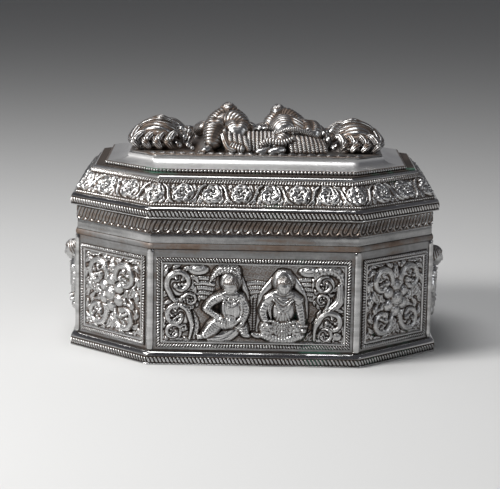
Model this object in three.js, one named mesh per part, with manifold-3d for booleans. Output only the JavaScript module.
// An oblong octagonal silver betel box: a panelled body on a moulded foot, a lift-out tray with three
// compartments resting on the collar inside its mouth, and a domed lift-off lid whose top panel is chased in
// high relief. Millimetres, +Z up, the front towards -Y, the origin under the middle of the foot.
import * as THREE from 'three';
import Module from 'manifold-3d';
import { mergeVertices } from 'three/addons/utils/BufferGeometryUtils.js';

const wasm = await Module();
wasm.setup();

// Plan of the box, over the ropework of the rim and foot
const boxLength = 176.6;
const boxDepth = 142;
const cornerCut = 38.7; // along each axis, so the corner faces stand at 45 degrees
const footReach = 6.5; // how far the foot moulding reaches in from the plan

// Walls
const sheet = 1.0;
const wallInset = 3.4;
const wallHeight = 47.4;
const solderGap = 0.1;

// Foot and rim mouldings, with a channel that the rope ring fills
const filletHeight = 0.8;
const filletInset = 0.2;
const ropeHeight = 3.1;
const ropeDepth = 0.9;
const ropePitch = 2.1;
const ropeSeat = 1.7;
const footRoundHeight = 2.4;
const rimRoundHeight = 1.7;
const footLedge = 0.4;

// Panel frames of beaded wire and a plain inner fillet
const frameSideMargin = 2.9;
const frameTopMargin = 3.7;
const frameFootMargin = 1.2;
const beadWidth = 2.0;
const beadStand = 1.0;
const lineWidth = 1.2;
const lineStand = 0.6;

// Corner strips
const stripHalfWidth = 1.7;
const stripStand = 0.85;

// Collar inside the mouth, and the tray that hangs on it
const collarBelowSeam = 12;
const collarAboveSeam = 5.8;
const collarSheet = 0.9;
const slideClearance = 0.3;
const trayDepth = 11.5;
const traySheet = 0.9;
const trayFlange = 1.4;
const trayWallClearance = 0.7;
const dividerHeight = 9.5;
const middleCompartment = 52;

// Lid
const seamGap = 0.1;
const skirtHeight = 14.6;
const skirtWireHeight = 2.9;
const skirtWireStand = 0.7;
const borderRise = 11.4;
const borderRun = 8.6;
const bandRise = 1.6;
const bandRun = 0.6;
const grooveRun = 5.4;
const neckPlate = 0.6;
const neckBead = 1.8;
const crownRise = 4.2;
const crownEndRun = 10.6;
const crownCut = 12.5; // the crown's top has shorter corner faces than its foot
const crownFootCut = 25;
const panelSheet = 1.0;
const panelInset = 0.7;
const moundSheet = 1.2;

// Chased work, whose forms are drawn in units of its own scale
const chasedUnit = 1.0;
const figureUnit = 1.0; // one unit of a figure's height
const endFigureUnit = 1.04;
const scrollStand = 2.9;
const cornerScrollStand = 2.7;
const petalStand = 2.3;
const leafStand = 1.3;
const vineRoot = 0.5; // how far the vine is sunk into the border
const vinePitch = 16;
const vineStand = 1.5;
const vineMargin = 2; // left bare at each end of a side
const vineClearance = 0.5; // left bare along the border's edges
const moundStand = 8.5; // how far the lid's sheet is raised under its figures
const rearMoundStand = 4.5;

// Levels
const mouldingHeight = filletHeight + ropeHeight + footRoundHeight + footLedge;
const seam = mouldingHeight + wallHeight;
const lidFoot = seam + seamGap;
const rimFoot = lidFoot + skirtHeight;
const rimTop = rimFoot + filletHeight + ropeHeight + rimRoundHeight;
const borderTop = rimTop + borderRise;
const bandTop = borderTop + bandRise;
const neckTop = bandTop + neckPlate + neckBead;
const crownTop = neckTop + crownRise;
const collarTop = seam + collarAboveSeam;

const silver = (tone, roughness) =>
  new THREE.MeshStandardMaterial({ color: tone, metalness: 1, roughness });
const polished = silver(0xc9c8c4, 0.18);
const chased = silver(0xa8a29a, 0.35);
const plain = silver(0xb9b6b0, 0.28);

// A closed surface from loose points and triangles, turned to face outwards.
function closedSurface(points, triangles) {
  let volume = 0;
  for (const [a, b, c] of triangles) {
    const [p, q, r] = [points[a], points[b], points[c]];
    volume += p[0] * (q[1] * r[2] - q[2] * r[1]);
    volume += p[1] * (q[2] * r[0] - q[0] * r[2]);
    volume += p[2] * (q[0] * r[1] - q[1] * r[0]);
  }
  const facing = volume < 0 ? triangles.map(([a, b, c]) => [a, c, b]) : triangles;
  const geometry = new THREE.BufferGeometry();
  geometry.setAttribute('position', new THREE.Float32BufferAttribute(points.flat(), 3));
  geometry.setIndex(facing.flat());
  return geometry;
}

// The eight corners at a distance inside the plan, from the front left, anticlockwise. Without its own cut
// the octagon is mitred, so every side moves in by the same distance.
function octagon(inset, cut = cornerCut - inset * (2 - Math.SQRT2)) {
  const halfLength = boxLength / 2 - inset;
  const halfDepth = boxDepth / 2 - inset;
  const frontHalf = halfLength - cut;
  const sideHalf = halfDepth - cut;
  return [
    [-frontHalf, -halfDepth], [frontHalf, -halfDepth], [halfLength, -sideHalf], [halfLength, sideHalf],
    [frontHalf, halfDepth], [-frontHalf, halfDepth], [-halfLength, sideHalf], [-halfLength, -sideHalf],
  ];
}

// Joins loops of equal length into a skin. A closed profile makes a ring, an open one a capped body.
function skin(loops, closedProfile) {
  const sides = loops[0].length;
  const points = loops.flat();
  const triangles = [];
  const last = closedProfile ? loops.length : loops.length - 1;
  for (let i = 0; i < last; i++) {
    const next = (i + 1) % loops.length;
    for (let k = 0; k < sides; k++) {
      const across = (k + 1) % sides;
      const [a, b] = [i * sides + k, i * sides + across];
      const [c, d] = [next * sides + across, next * sides + k];
      triangles.push([a, b, c], [a, c, d]);
    }
  }
  if (!closedProfile) {
    const end = (loops.length - 1) * sides;
    for (let k = 1; k < sides - 1; k++) {
      triangles.push([0, k + 1, k], [end, end + k, end + k + 1]);
    }
  }
  return closedSurface(points, triangles);
}

// Octagonal work: each profile point is [inset, height] or [inset, height, cut].
const octagonLoops = (profile) =>
  profile.map(([inset, z, cut]) => octagon(inset, cut).map(([x, y]) => [x, y, z]));
const octagonRing = (profile) => skin(octagonLoops(profile), true);
const octagonBody = (profile) => skin(octagonLoops(profile), false);

// A strip round a rectangle that stands in the XZ plane: each profile point is [inset, stand].
function rectangleRing(width, height, profile) {
  const loops = profile.map(([inset, stand]) => {
    const [x, z] = [width / 2 - inset, height / 2 - inset];
    return [[-x, -stand, -z], [x, -stand, -z], [x, -stand, z], [-x, -stand, z]];
  });
  return skin(loops, true);
}

// Points of an arc in a profile, angles in degrees.
function arc(inset, z, radiusIn, radiusUp, from, to, steps) {
  return Array.from({ length: steps + 1 }, (_, i) => {
    const angle = THREE.MathUtils.degToRad(from + ((to - from) * i) / steps);
    return [inset + radiusIn * Math.cos(angle), z + radiusUp * Math.sin(angle)];
  });
}

// Moulding of the foot and of the lid's rim: a fillet, the rope's channel and a half round above it.
function moulding(z, reach, roundHeight, ledge) {
  const ropeFoot = z + filletHeight;
  const roundFoot = ropeFoot + ropeHeight;
  const roundTop = roundFoot + roundHeight;
  const roundDepth = wallInset - filletInset - 1;
  const ledgePoints = ledge ? [[wallInset - 0.5, roundTop + ledge]] : [];
  return octagonRing([
    [reach, z], [filletInset + 0.3, z], [filletInset, z + 0.3], [filletInset, ropeFoot - 0.2],
    [filletInset + 0.2, ropeFoot], [ropeSeat + solderGap, ropeFoot],
    [ropeSeat + solderGap, roundFoot],
    ...arc(filletInset + 0.2 + roundDepth, roundFoot, roundDepth, roundHeight, 180, 90, 4),
    ...ledgePoints, [reach, roundTop + ledge],
  ]);
}

// Rope ring: a band whose outside is cut into upright ribs, whole ribs to each side.
function ropeRing(z) {
  const crests = octagon(0);
  const valleys = octagon(ropeDepth);
  const outline = new THREE.Shape();
  crests.forEach((_, k) => {
    const next = (k + 1) % crests.length;
    const side = Math.hypot(crests[next][0] - crests[k][0], crests[next][1] - crests[k][1]);
    const ribs = Math.round(side / ropePitch);
    for (let i = 0; i < ribs; i++) {
      const [low, high] = [i / ribs, (i + 0.5) / ribs];
      const valley = valleys[k].map((v, n) => v + (valleys[next][n] - v) * low);
      const crest = crests[k].map((v, n) => v + (crests[next][n] - v) * high);
      if (k + i === 0) outline.moveTo(...valley);
      else outline.lineTo(...valley);
      outline.lineTo(...crest);
    }
  });
  outline.closePath();
  outline.holes.push(new THREE.Path(octagon(ropeSeat).map((p) => new THREE.Vector2(...p)).reverse()));
  const height = ropeHeight - 2 * solderGap;
  const ring = new THREE.ExtrudeGeometry(outline, { depth: height, bevelEnabled: false });
  return ring.translate(0, 0, z + solderGap);
}

// Even steps between two values, both ends included.
const steps = (from, to, count) =>
  Array.from({ length: count + 1 }, (_, i) => from + ((to - from) * i) / count);

// A value read between the entries of a list, at t from 0 to 1.
function spread(values, t) {
  const place = t * (values.length - 1);
  const i = Math.min(Math.floor(place), values.length - 2);
  return values.length > 1 ? values[i] + (values[i + 1] - values[i]) * (place - i) : values[0];
}

// Turns a closed geometry into a solid that can be joined and cut, and a solid back into a geometry.
function solidOf(geometry) {
  const bare = geometry.clone();
  bare.deleteAttribute('normal');
  bare.deleteAttribute('uv');
  const merged = mergeVertices(bare, 1e-4);
  return new wasm.Manifold(new wasm.Mesh({
    numProp: 3,
    vertProperties: new Float32Array(merged.attributes.position.array),
    triVerts: new Uint32Array(merged.index.array),
  }));
}
function geometryOf(solid) {
  const mesh = solid.getMesh();
  const geometry = new THREE.BufferGeometry();
  geometry.setAttribute('position', new THREE.BufferAttribute(mesh.vertProperties, 3));
  geometry.setIndex(new THREE.BufferAttribute(mesh.triVerts, 1));
  return geometry;
}

// Chased forms stand on a sheet, at [across, up] in the drawing's units.
// A stroke is a ridge along a curve through knots, with half widths and heights spread along it. A leaf's
// stroke comes to a keel, and a limb's has a flat top.
function stroke(knots, widths, heights, pieces, topShare = 0, root = 0) {
  const places = knots.map(([u, v]) => new THREE.Vector3(u, v, 0).multiplyScalar(chasedUnit));
  const curve = new THREE.CatmullRomCurve3(places);
  const loops = steps(0, 1, pieces).map((t) => {
    const [middle, way] = [curve.getPointAt(t), curve.getTangentAt(t)];
    const [width, height] = [chasedUnit * spread(widths, t), spread(heights, t)];
    const top = topShare ? [[topShare, height], [-topShare, height]] : [[0, height]];
    return [[1, -root], ...top, [-1, -root]].map(([share, h]) => [
      middle.x - way.y * share * width, middle.y + way.x * share * width, h,
    ]);
  });
  return skin(loops, false);
}
const limbOf = (knots, widths, heights, pieces = 3) => stroke(knots, widths, heights, pieces, 0.56);

// An oval boss, turned in degrees, with its rings as [share of its reach, share of its height].
const lowRings = [[0.56, 1]];
const domeRings = [[0.82, 0.62], [0.36, 1]];
function boss([u, v], [ru, rv], turn, height, rings = lowRings, count = 6) {
  const angle = THREE.MathUtils.degToRad(turn);
  const loops = [[1, 0], ...rings].map(([share, h]) =>
    steps(0, 1, count).slice(1).map((t) => {
      const x = ru * share * Math.cos(2 * Math.PI * t);
      const y = rv * share * Math.sin(2 * Math.PI * t);
      return [
        chasedUnit * (u + x * Math.cos(angle) - y * Math.sin(angle)),
        chasedUnit * (v + x * Math.sin(angle) + y * Math.cos(angle)),
        h * height,
      ];
    }));
  return skin(loops, false);
}

// A leaf scroll: a leaf on a stem that coils inwards about a centre, with a knob at its end.
function scroll([u, v], radius, start, sweep, height, stem = []) {
  const coil = steps(0, 1, 8).map((t) => {
    const angle = THREE.MathUtils.degToRad(start + 0.86 * sweep * t);
    const reach = radius * (0.7 - 0.36 * t);
    return [u + reach * Math.cos(angle), v + reach * Math.sin(angle)];
  });
  const widths = [0.14, 0.34, 0.42, 0.4, 0.34, 0.22].map((share) => share * radius);
  const rise = [0.7, 1, 1, 0.95, 0.85].map((share) => share * height);
  const end = THREE.MathUtils.degToRad(start + 0.86 * sweep);
  const knob = [u + 0.08 * radius * Math.cos(end), v + 0.08 * radius * Math.sin(end)];
  return [
    stroke([...stem, ...coil], widths, rise, 6 + stem.length),
    boss(knob, [0.34 * radius, 0.34 * radius], 0, 1.15 * height, lowRings, 5),
  ];
}
const leaf = (knots, width, height) =>
  stroke(knots, [0.4, 1, 0.12].map((share) => share * width), [height, height, 0.5 * height], 2);

// A head seen from the front: hair and an oval face.
function head([u, v], size, unit) {
  return [
    boss([u, v + 0.36 * size], [1.2 * size, 1.32 * size], 0, 3.6 * unit, lowRings),
    boss([u, v], [0.82 * size, size], 0, 7.4 * unit, domeRings),
  ];
}

// A figure seated on the ground with its right hand on a raised knee, under a rolled cap.
function kneelingFigure([x, y], unit) {
  const at = (...knots) => knots.map(([a, b]) => [x + a, y + b]);
  const up = (...heights) => heights.map((h) => h * unit);
  return [
    limbOf(at([-7.6, -16], [1.6, -14.6], [8.6, -14.2]), [1.9, 3.2, 1.6], up(2.2, 2.8, 2.4)),
    boss(...at([1.6, -1.8]), [6, 9.4], 0, 4.6 * unit, domeRings),
    limbOf(at([2.4, -8], [-4.6, -7.8], [-9.6, -12.4], [-13.8, -16]), [3.4, 3.8, 2.4, 1.6],
      up(5, 5.2, 3.8, 2.6)),
    limbOf(at([5.4, 3.6], [8, -2.4], [6.2, -8.8]), [2.6, 2.2, 1.4], up(4.2), 2),
    limbOf(at([0.4, 4.2], [-9.4, 0.6], [-9.6, -4], [-3.4, -6.8]), [2.4, 2.4, 2, 1.4], up(4.2, 4.2, 4.8, 5.6)),
    limbOf(at([5, 12.2], [2, 16.2], [-5.4, 15], [-8.8, 10.2]), [1.4, 2.6, 2.6, 1], up(3.9)),
    ...head(at([0.9, 9.4])[0], 4.4, unit),
  ];
}

// A figure seated cross-legged with a collar on its chest and its hands on its knees.
function crossLeggedFigure([x, y], unit) {
  const at = (...knots) => knots.map(([a, b]) => [x + a, y + b]);
  const up = (...heights) => heights.map((h) => h * unit);
  const arm = (side, wrist) =>
    limbOf(at([side * 3.4, 4.4], [side * 8.8, -1.6], wrist), [2.2, 2.5, 1.5], up(4.2, 4.2, 4.6));
  return [
    boss(...at([-6.2, -10.8]), [5.6, 4.8], 20, 4.3 * unit),
    boss(...at([6, -11]), [5.4, 4.6], -24, 4.3 * unit),
    limbOf(at([-8.6, -14.4], [-0.5, -16.2], [8.2, -14.6]), [2, 2.4, 1.9], up(3.9), 2),
    boss(...at([0, -2.2]), [6.2, 9.4], 0, 4.9 * unit, domeRings),
    arm(-1, [-6.4, -9.6]),
    arm(1, [9, -11.2]),
    ...head(at([0, 9.6])[0], 4.4, unit),
  ];
}

// The chased forms of each kind of wall, about the middle of the field inside its frame.
function longWallForms() {
  return [
    ...scroll([-33, 9.4], 8.4, 215, -340, scrollStand, [[-29.4, -3.4]]),
    ...scroll([-34.4, -8.4], 7.8, 10, 340, scrollStand, [[-27.4, -17.4]]),
    leaf([[-22.4, -8], [-23.6, 2], [-22.4, 12]], 2.2, leafStand),
    ...scroll([33.2, 8.6], 8, 200, -330, scrollStand, [[27.4, -4]]),
    ...scroll([34.2, -9], 7.6, 170, -340, scrollStand, [[26.6, -17.2]]),
    boss([23.6, 15.2], [4.4, 2.4], 0, leafStand),
    ...kneelingFigure([-11.5, 0], figureUnit),
    ...crossLeggedFigure([13.8, 0], figureUnit),
  ];
}
function endWallForms(width) {
  const reach = width / 2 / chasedUnit;
  return [
    ...[-1, 1].flatMap((side) => [
      ...scroll([side * (reach - 8), 9], 7.8, 90 + side * 90, -side * 340, scrollStand),
      ...scroll([side * (reach - 8), -8.6], 7.4, 90 + side * 90, side * 340, scrollStand,
        [[side * 13, -17.2]]),
    ]),
    ...crossLeggedFigure([0, 1.2], endFigureUnit),
  ];
}
function cornerWallForms() {
  const petals = steps(36, 324, 4).map((degrees) => {
    const angle = THREE.MathUtils.degToRad(degrees);
    const at = [6 * Math.cos(angle), 0.4 + 6 * Math.sin(angle)];
    return boss(at, [3.7, 3.6], degrees, petalStand, lowRings, 5);
  });
  return [
    ...[-1, 1].flatMap((side) => [
      ...scroll([side * 10, 10], 8.2, 90 + side * 102, -side * 340, cornerScrollStand),
      ...scroll([side * 10, -10], 7.9, 90 + side * 86, side * 340, cornerScrollStand),
    ]),
    leaf([[0, 8.6], [0, 13], [0, 17.4]], 2.2, leafStand),
    leaf([[0, -9.4], [0, -13.4], [0, -17.4]], 2.1, leafStand),
    ...petals,
    boss([0, 0.4], [4, 4], 0, 1.4 * petalStand, lowRings),
  ];
}

// A wall panel standing in the XZ plane, its outside towards -Y, with ends mitred for the corners.
function wallPanel(outerWidth, forms) {
  const [half, innerHalf] = [outerWidth / 2, outerWidth / 2 - sheet * Math.tan(Math.PI / 8)];
  const field = fieldOf(outerWidth);
  const middle = field.foot + field.height / 2;
  const plate = skin([-middle, wallHeight - middle].map((v) => [
    [-half, v, 0], [-innerHalf, v, -sheet], [innerHalf, v, -sheet], [half, v, 0],
  ]), false);
  const window = new THREE.BoxGeometry(field.width - 2 * solderGap, field.height - 2 * solderGap, boxDepth);
  const chasing = wasm.Manifold.union(forms.map(solidOf)).intersect(solidOf(window));
  return geometryOf(solidOf(plate).add(chasing)).rotateX(Math.PI / 2).translate(0, 0, middle);
}

// The frame's outer rectangle on a wall, and the field inside it.
function frameOf(outerWidth) {
  return {
    width: outerWidth - 2 * frameSideMargin,
    height: wallHeight - frameTopMargin - frameFootMargin,
    foot: frameFootMargin,
  };
}
function fieldOf(outerWidth) {
  const frame = frameOf(outerWidth);
  const border = beadWidth + lineWidth;
  return {
    width: frame.width - 2 * border,
    height: frame.height - 2 * border,
    foot: frame.foot + border,
  };
}

// A beaded wire, half round, with a plain fillet along its inner side.
function panelFrame(outerWidth) {
  const { width, height } = frameOf(outerWidth);
  const halfRound = arc(beadWidth / 2, solderGap, -beadWidth / 2, beadStand - solderGap, 0, 180, 4);
  return rectangleRing(width, height, [
    ...halfRound,
    [beadWidth + 0.1, lineStand], [beadWidth + lineWidth - 0.2, lineStand],
    [beadWidth + lineWidth, solderGap],
  ]);
}

// A half-round strip with a hollow back that covers the joint of two walls.
function cornerStrip() {
  const slope = Math.tan(Math.PI / 8);
  const edge = stripHalfWidth * slope - 1.5 * solderGap;
  const section = new THREE.Shape();
  section.moveTo(-stripHalfWidth, edge);
  section.lineTo(0, -1.5 * solderGap);
  section.lineTo(stripHalfWidth, edge);
  const rounds = 6;
  for (let i = 0; i <= rounds; i++) {
    const angle = (Math.PI * i) / rounds;
    const bulge = (stripStand + edge) * Math.sin(angle);
    section.lineTo(stripHalfWidth * Math.cos(angle) * 0.98, edge - 0.05 - bulge);
  }
  section.closePath();
  const strip = new THREE.ExtrudeGeometry(section, {
    depth: wallHeight - 2 * solderGap,
    bevelEnabled: false,
  });
  return strip.translate(0, 0, solderGap);
}

// The sides of an octagon: name, first corner, middle, length and the turn that puts -Y outwards.
const sideNames = [
  'front', 'front_right', 'right', 'back_right', 'back', 'back_left', 'left', 'front_left',
];
function sidesOf(inset) {
  const corners = octagon(inset);
  return sideNames.map((name, k) => {
    const [from, to] = [corners[k], corners[(k + 1) % 8]];
    return {
      name,
      corner: from,
      middle: [(from[0] + to[0]) / 2, (from[1] + to[1]) / 2],
      length: Math.hypot(to[0] - from[0], to[1] - from[1]),
      turn: (k * Math.PI) / 4,
    };
  });
}
const sides = sidesOf(wallInset);

const box = new THREE.Group();
const lid = new THREE.Group();
const tray = new THREE.Group();

function add(parent, name, geometry, material) {
  const mesh = new THREE.Mesh(geometry, material);
  mesh.name = name;
  parent.add(mesh);
  return mesh;
}

// Foot, floor and collar of the box
add(box, 'foot_moulding', moulding(0, footReach, footRoundHeight, footLedge), polished);
add(box, 'foot_rope', ropeRing(filletHeight), polished);
add(box, 'base_plate', octagonBody([
  [footReach + solderGap, filletHeight],
  [footReach + solderGap, filletHeight + sheet],
]), plain);

const collarInset = wallInset + sheet + slideClearance;
add(box, 'inner_collar', octagonRing([
  [collarInset, seam - collarBelowSeam], [collarInset, collarTop],
  [collarInset + collarSheet, collarTop], [collarInset + collarSheet, seam - collarBelowSeam],
]), polished);

// Walls, their frames and the strips over their joints
function formsFor(name, outerWidth) {
  if (name === 'front' || name === 'back') return longWallForms();
  if (name === 'left' || name === 'right') return endWallForms(fieldOf(outerWidth).width);
  return cornerWallForms();
}
for (const side of sides) {
  const face = new THREE.Group();
  face.position.set(side.middle[0], side.middle[1], mouldingHeight);
  face.rotation.z = side.turn;
  box.add(face);
  const width = side.length - 2 * solderGap;
  add(face, `wall_${side.name}`, wallPanel(width, formsFor(side.name, width)), chased);
  const frame = frameOf(width);
  const strip = add(face, `frame_${side.name}`, panelFrame(width), chased);
  strip.position.z = frame.foot + frame.height / 2;
}
const stripNames = [
  'front_left_a', 'front_right_a', 'front_right_b', 'back_right_b',
  'back_right_a', 'back_left_a', 'back_left_b', 'front_left_b',
];
sides.forEach((side, k) => {
  const post = add(box, `corner_strip_${stripNames[k]}`, cornerStrip(), polished);
  post.position.set(side.corner[0], side.corner[1], mouldingHeight);
  post.rotation.z = side.turn - Math.PI / 8;
});

// Tray with two cross dividers, hanging by its flange on the collar
const trayWall = collarInset + collarSheet + trayWallClearance;
const trayFloor = collarTop - trayDepth;
add(tray, 'tray_pan', octagonBody([
  [trayWall, trayFloor], [trayWall, collarTop],
  [trayWall - trayFlange, collarTop], [trayWall - trayFlange, collarTop + traySheet],
  [trayWall + traySheet, collarTop + traySheet], [trayWall + traySheet, trayFloor + traySheet],
]), plain);
const dividerHalf = boxDepth / 2 - trayWall - traySheet - 2 * solderGap;
for (const [name, side] of [['left', -1], ['right', 1]]) {
  const plate = new THREE.BoxGeometry(traySheet, 2 * dividerHalf, dividerHeight);
  const divider = add(tray, `tray_divider_${name}`, plate, plain);
  divider.position.set(
    (side * middleCompartment) / 2, 0, trayFloor + traySheet + dividerHeight / 2,
  );
}

// Lid: skirt, its foot wire, rim, border, neck and crown
add(lid, 'lid_skirt', octagonRing([
  [wallInset, lidFoot], [wallInset, rimFoot], [wallInset + sheet, rimFoot], [wallInset + sheet, lidFoot],
]), polished);
add(lid, 'lid_skirt_wire', octagonRing([
  [wallInset - solderGap, lidFoot],
  ...arc(wallInset - solderGap, lidFoot + skirtWireHeight / 2, -skirtWireStand, -skirtWireHeight / 2,
    60, -60, 4),
  [wallInset - solderGap, lidFoot + skirtWireHeight],
]), polished);
add(lid, 'lid_rim', moulding(rimFoot, wallInset + sheet, rimRoundHeight, 0), polished);
add(lid, 'lid_rim_rope', ropeRing(rimFoot + filletHeight), polished);

const borderFoot = wallInset - 1;
const bandInset = borderFoot + borderRun;
const bandEdge = bandInset + bandRun;
const borderRing = solidOf(octagonRing([
  [borderFoot, rimTop], [bandInset, borderTop], [bandEdge, bandTop],
  [bandEdge + 1.6 * sheet, bandTop], [bandInset + 1.6 * sheet, borderTop],
  [borderFoot + 1.8 * sheet, rimTop],
]));

// The border's vine: on each side a row of scrolls, coiled up and down in turn.
const borderSlope = Math.atan2(borderRise, borderRun);
const vine = sidesOf(borderFoot + borderRun / 2).flatMap((side) => {
  const run = side.length - 2 * vineMargin;
  const units = Math.max(1, Math.round(run / vinePitch));
  const pitch = run / units;
  return steps(0.5, units - 0.5, units - 1).flatMap((place, i) => {
    const way = i % 2 ? 1 : -1;
    const u = (place * pitch - run / 2) / chasedUnit;
    const knots = [
      [u - 6, -way * 3.8], [u - 4, way * 1.6], [u + 1.8, way * 3], [u + 4, -way * 1], [u, -way * 2.4],
    ];
    const coil = stroke(knots, [0.8, 2.3, 3, 2.4, 1.6], [vineStand], 4, 0, vineRoot);
    coil.rotateX(borderSlope).rotateZ(side.turn);
    return solidOf(coil.translate(side.middle[0], side.middle[1], rimTop + borderRise / 2));
  });
});
const borderReach = solidOf(octagonBody([
  [-vineStand, rimTop + vineClearance], [-vineStand, borderTop - vineClearance],
]));
add(lid, 'lid_border', geometryOf(borderRing.add(wasm.Manifold.union(vine).intersect(borderReach))), chased);

const neckInset = bandEdge + grooveRun;
const beadFoot = bandTop + neckPlate;
add(lid, 'lid_neck', octagonRing([
  [bandEdge + 0.4, bandTop], [bandEdge + 0.4, beadFoot],
  [neckInset, beadFoot, crownFootCut],
  ...arc(neckInset, beadFoot + neckBead / 2, -0.5, -neckBead / 2, 60, -60, 3)
    .map(([inset, z]) => [inset, z, crownFootCut]),
  [neckInset, neckTop, crownFootCut], [neckInset + 2.2, neckTop, crownFootCut],
  [neckInset + 2.2, bandTop, crownFootCut],
]), polished);

// The crown's face is hollow: flat at its foot and steep where it meets the top panel.
const crownSteps = 5;
const crownFace = steps(0, 1, crownSteps).map((t) => [
  neckInset + crownEndRun * Math.sin((t * Math.PI) / 2),
  neckTop + crownRise * (1 - Math.cos((t * Math.PI) / 2)),
  crownFootCut + (crownCut - crownFootCut) * Math.sin((t * Math.PI) / 2),
]);
const crownEdge = neckInset + crownEndRun;
const crownBack = crownFace
  .slice(0, -1)
  .map(([inset, z, cut]) => [inset + 1.9 * sheet, z, cut])
  .reverse();
add(lid, 'lid_crown', octagonRing([
  ...crownFace,
  [crownEdge + 1.9 * sheet, crownTop, crownCut],
  ...crownBack,
]), polished);

// Top panel: two figures seated between leaf scrolls, on a sheet raised into mounds that are hollow behind
const panelEdge = crownEdge + panelInset;
const panelTop = crownTop + panelSheet;

// A low mound about a middle, which stands on a height.
function mound([x, y], [rx, ry], foot, stand, shrink = 0, count = 8) {
  const loops = [[1, 0], [0.66, 1]].map(([share, h]) =>
    steps(0, 1, count).slice(1).map((t) => [
      chasedUnit * x + (chasedUnit * rx - shrink) * share * Math.cos(2 * Math.PI * t),
      chasedUnit * y + (chasedUnit * ry - shrink) * share * Math.sin(2 * Math.PI * t),
      foot + stand * h,
    ]));
  return solidOf(skin(loops, false));
}

// A round limb along a curve through knots [x, y, height above the sheet], narrowed at its ends.
function limb(knots, radii, pieces = 3, count = 6, endShare = 0.6) {
  const places = knots.map((knot) => new THREE.Vector3(...knot).multiplyScalar(chasedUnit));
  const curve = new THREE.CatmullRomCurve3(places);
  const loops = steps(0, 1, pieces).map((t) => {
    const [middle, way] = [curve.getPointAt(t), curve.getTangentAt(t)];
    const upwards = Math.abs(way.z) > 0.85 ? new THREE.Vector3(0, 1, 0) : new THREE.Vector3(0, 0, 1);
    const aside = way.clone().cross(upwards).normalize();
    const over = aside.clone().cross(way);
    const radius = chasedUnit * spread(radii, t) * (t === 0 || t === 1 ? endShare : 1);
    return steps(0, 1, count).slice(1).map((turn) => {
      const [a, b] = [Math.cos(2 * Math.PI * turn) * radius, Math.sin(2 * Math.PI * turn) * radius];
      return [middle.x + aside.x * a + over.x * b, middle.y + aside.y * a + over.y * b,
        panelTop + middle.z + aside.z * a + over.z * b];
    });
  });
  return solidOf(skin(loops, false));
}

// A head that faces the front of the box.
function lidHead([x, y, z], size) {
  const at = (back, dv) => [x, y + back * size, z + dv * size];
  const radii = [0.5, 0.86, 0.92, 0.8, 0.4].map((share) => share * size);
  return limb([at(0, 1.05), at(0, 0), at(-0.1, -1)], radii, 4, 7, 1);
}
const leftLidFigure = [
  limb([[-15, -8, 4.3], [-15, 0, 10.3], [-14.5, 5, 14.3]], [8.5, 8.2, 6], 2),
  limb([[-24, -2, 9.3], [-15, 3.5, 14.3], [-5.5, -1, 9.3]], [4.8, 4.8, 4.8], 2),
  limb([[-18.5, -10, 8.3], [-20.5, -20, 12.3], [-21.5, -28, 12.9]], [7, 6.6, 6], 2),
  limb([[-21.4, -26, 12.3], [-22.6, -32.6, 6.3], [-25, -37, 1.3], [-26.4, -40, 0.5]], [6, 5, 2.8, 2], 3, 5),
  limb([[-11, -10, 7.3], [-7.5, -19, 9.8], [-7, -27, 8.8]], [7.6, 7.2, 6], 2),
  limb([[-7.4, -26, 8.3], [-10.5, -32.5, 4.3], [-14.5, -35.5, 0.7]], [5.6, 4.6, 3.6], 2, 5),
  limb([[-23, -1, 10.3], [-27, -10, 10.8], [-22, -20, 15.3]], [3.8, 3.4, 2.4], 2, 5),
  limb([[-6.4, -1.4, 10.3], [-2.2, -11, 10.3], [-6.4, -22, 13.3]], [3.8, 3.4, 2.4], 2, 5),
  lidHead([-14, 1.6, 15.9], 4),
];
const rightLidFigure = [
  limb([[15, -8, 4.3], [14, 0, 10.3], [12.5, 5, 14.3]], [8.5, 8, 6], 2),
  limb([[5, -1, 9.3], [13.5, 3, 14.3], [23, -3, 9.8]], [4.8, 4.8, 4.8], 2),
  limb([[12.5, -11, 7.3], [13.5, -20, 10.3], [15.4, -28, 9.7]], [7, 6.6, 5.8], 2),
  limb([[15.4, -26, 9.3], [11.4, -33, 4.3], [5.6, -37, 1.1], [0.6, -39.4, 0.5]], [5.6, 4.4, 2.6, 1.8], 3, 5),
  limb([[21, -10, 7.3], [25.5, -19, 8.7], [28.6, -27, 6.9]], [7.6, 7.2, 6], 2),
  ...steps(20, 29.6, 2).map((x) =>
    limb([[x, -25.5, 7.9 - 0.03 * (x - 20) ** 2], [x + 0.7, -31, 4.3], [x + 1.2, -35.6, -0.3]], [2.8, 3, 2.6],
      2, 4)),
  limb([[22, -2.4, 10.3], [29.5, -10, 9.3], [33, -18, 4.3]], [3.8, 3.4, 2.8], 2, 5),
  limb([[6, -1, 10.3], [1.8, -9, 9.9], [6, -20, 11.3]], [3.6, 3.2, 2.2], 2, 5),
  lidHead([10.6, 1.2, 15.3], 4.1),
];

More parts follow.
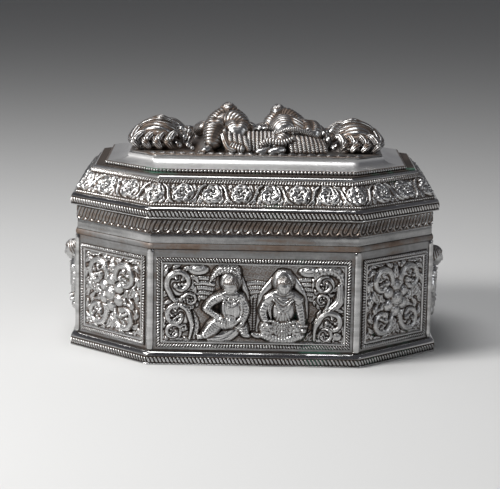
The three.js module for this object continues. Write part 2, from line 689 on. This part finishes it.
// A great leaf scroll towards an end of the lid, that climbs as it coils, with leaves about it.
function lidScroll(side) {
  const [x, y] = [side * 47, -16];
  const coil = steps(0, 1, 8).map((t) => {
    const angle = THREE.MathUtils.degToRad(-150 + 410 * t);
    const reach = 9.6 - 7.2 * t;
    return [x + side * reach * Math.cos(angle), y + 1.12 * reach * Math.sin(angle), 2.8 + 9.6 * t];
  });
  return [
    limb(coil, [3.4, 5.2, 5.4, 5.2, 5, 4.6], 7, 5, 0.8),
    limb([[x - side * 13, y - 13, 0.3], [x - side * 6, y - 17, 3.3], [x + side * 5, y - 13, 1.1]],
      [2.4, 3.6, 2.8], 2, 5),
    limb([[x - side * 12.5, y + 3, 1.9], [x - side * 13.4, y - 5, 5.5], [x - side * 11, y - 12.5, 2.1]],
      [3, 4, 3], 2, 5),
    limb([[x + side, y + 14, 3.3], [x + side * 8.4, y + 7, 6.5], [x + side * 9.5, y - 3, 3.9]],
      [2.4, 3.6, 2.8], 2, 5),
  ];
}

// A smaller scroll behind it, towards the back.
function backLidScroll(side) {
  const [x, y] = [side * 44, 18];
  const coil = steps(0, 1, 4).map((t) => {
    const angle = THREE.MathUtils.degToRad(150 - 270 * t);
    const reach = 8 - 5 * t;
    return [x + side * reach * Math.cos(angle), y + reach * Math.sin(angle), 1.3 + 4.6 * t];
  });
  return limb(coil, [3, 4.4, 4], 4, 5);
}

// Mounds of the sheet as [middle, reach], and the hollows behind them and the figures.
const mounds = [
  [[-15, -9], [18, 22], moundStand], [[14, -9], [19, 21], moundStand], [[-46, -9], [13.5, 18], moundStand],
  [[46, -9], [13, 18], moundStand], [[0, 22], [50, 13], rearMoundStand],
];
const hollows = mounds.map(([at, reach, stand]) =>
  mound(at, reach, crownTop, panelSheet + stand - moundSheet, 2 * moundSheet, 6));
const plate = solidOf(octagonBody([[panelEdge, crownTop, crownCut], [panelEdge, panelTop, crownCut]]));
const panelReach = solidOf(octagonBody([
  [panelEdge, crownTop, crownCut], [panelEdge, panelTop + boxDepth, crownCut],
]));
const raised = wasm.Manifold.union([
  plate,
  ...mounds.map(([at, reach, stand]) => mound(at, reach, panelTop, stand)),
  ...leftLidFigure,
  ...rightLidFigure,
  ...[-1, 1].flatMap((side) => [...lidScroll(side), backLidScroll(side)]),
]);
add(lid, 'lid_top_panel',
  geometryOf(raised.intersect(panelReach).subtract(wasm.Manifold.union(hollows))), chased);

const betelBox = new THREE.Group();
betelBox.add(box, tray, lid);
export default betelBox;
